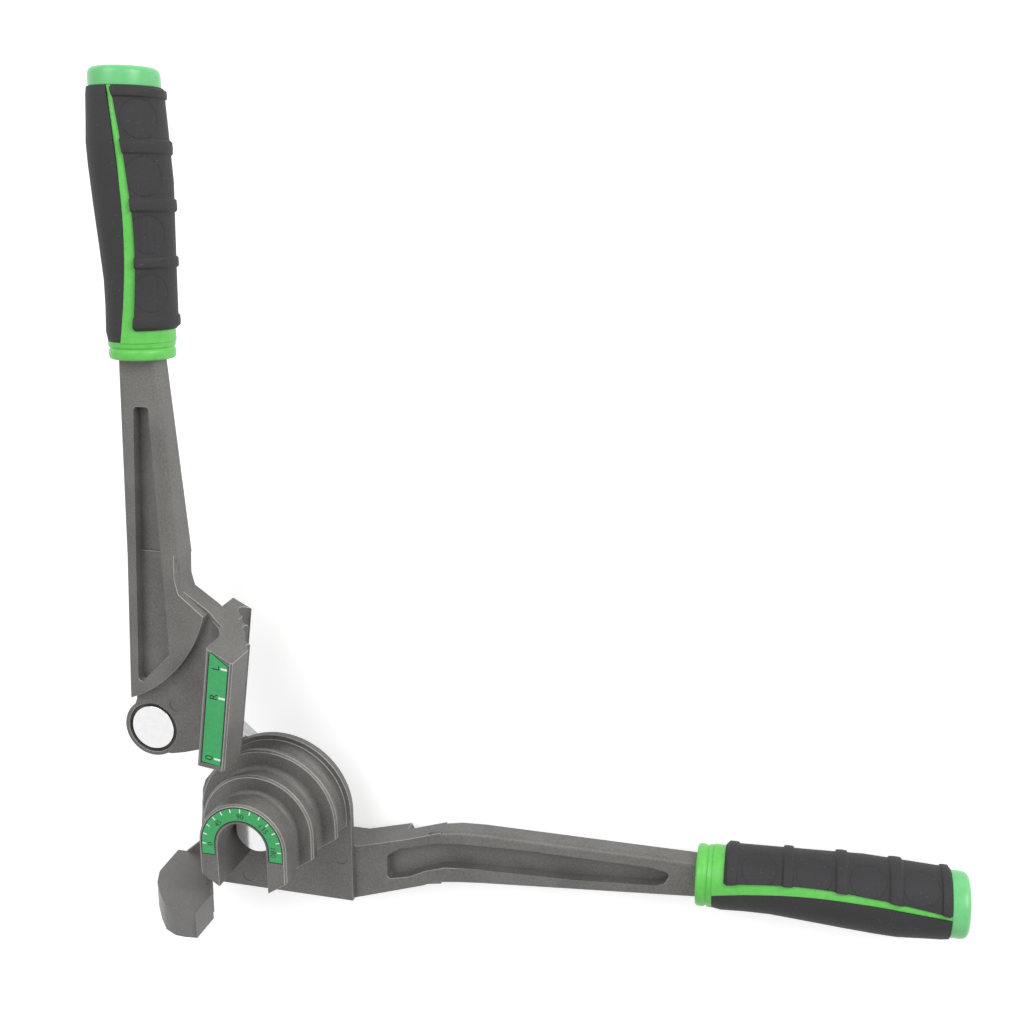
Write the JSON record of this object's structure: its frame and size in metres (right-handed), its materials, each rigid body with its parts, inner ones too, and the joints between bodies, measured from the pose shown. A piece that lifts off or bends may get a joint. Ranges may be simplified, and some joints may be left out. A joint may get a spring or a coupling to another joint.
{
  "type": "tube bender",
  "caption": "Hand tube bender with a stepped half-round former, a stepped forming shoe on a swinging handle, a link, a hook and two soft grips.",
  "frame": {"origin": "on the former's axis, at its front (dial) face", "axes": "+X along the lower handle, +Y up from the 0 to 180 degree line of the dial, +Z out of the former's front face"},
  "size_m": [0.4121, 0.4135, 0.0806],
  "materials": {
    "casting": "satin powder coat",
    "hook_casting": "satin powder coat",
    "bright_steel": "bright",
    "dial_film": "semi-gloss film",
    "grip_plastic": "satin",
    "grip_rubber": "matt"
  },
  "bodies": {
    "lower_side": {"former_handle": "casting", "tube_hook": "hook_casting", "hook_screws": "bright_steel", "former_scale": "dial_film", "centre_pin": "bright_steel", "centre_washer": "bright_steel", "centre_back_washer": "bright_steel", "centre_clip": "bright_steel", "lower_grip_core": "grip_plastic", "lower_grip_upper_pad": "grip_rubber", "lower_grip_lower_pad": "grip_rubber", "lower_grip_cap": "grip_plastic", "lower_grip_screw": "bright_steel"},
    "link_side": {"link": "bright_steel", "handle_pin": "bright_steel", "handle_washer": "bright_steel", "handle_back_washer": "bright_steel", "handle_clip": "bright_steel"},
    "upper_side": {"shoe_handle": "casting", "shoe_scale": "dial_film", "upper_grip_core": "grip_plastic", "upper_grip_left_pad": "grip_rubber", "upper_grip_right_pad": "grip_rubber", "upper_grip_cap": "grip_plastic", "upper_grip_screw": "bright_steel"}
  },
  "joints": [
    {"name": "link_swing", "type": "hinge", "parent": "lower_side", "child": "link_side", "pos_m": [0, 0, -0.0538], "axis": [0, 0, 1], "range_deg": [-134, 43.6]},
    {"name": "shoe_swing", "type": "hinge", "parent": "link_side", "child": "upper_side", "pos_m": [-0.05323, 0.05069, -0.0538], "axis": [0, 0, 1], "range_deg": [-36, 90]}
  ]
}
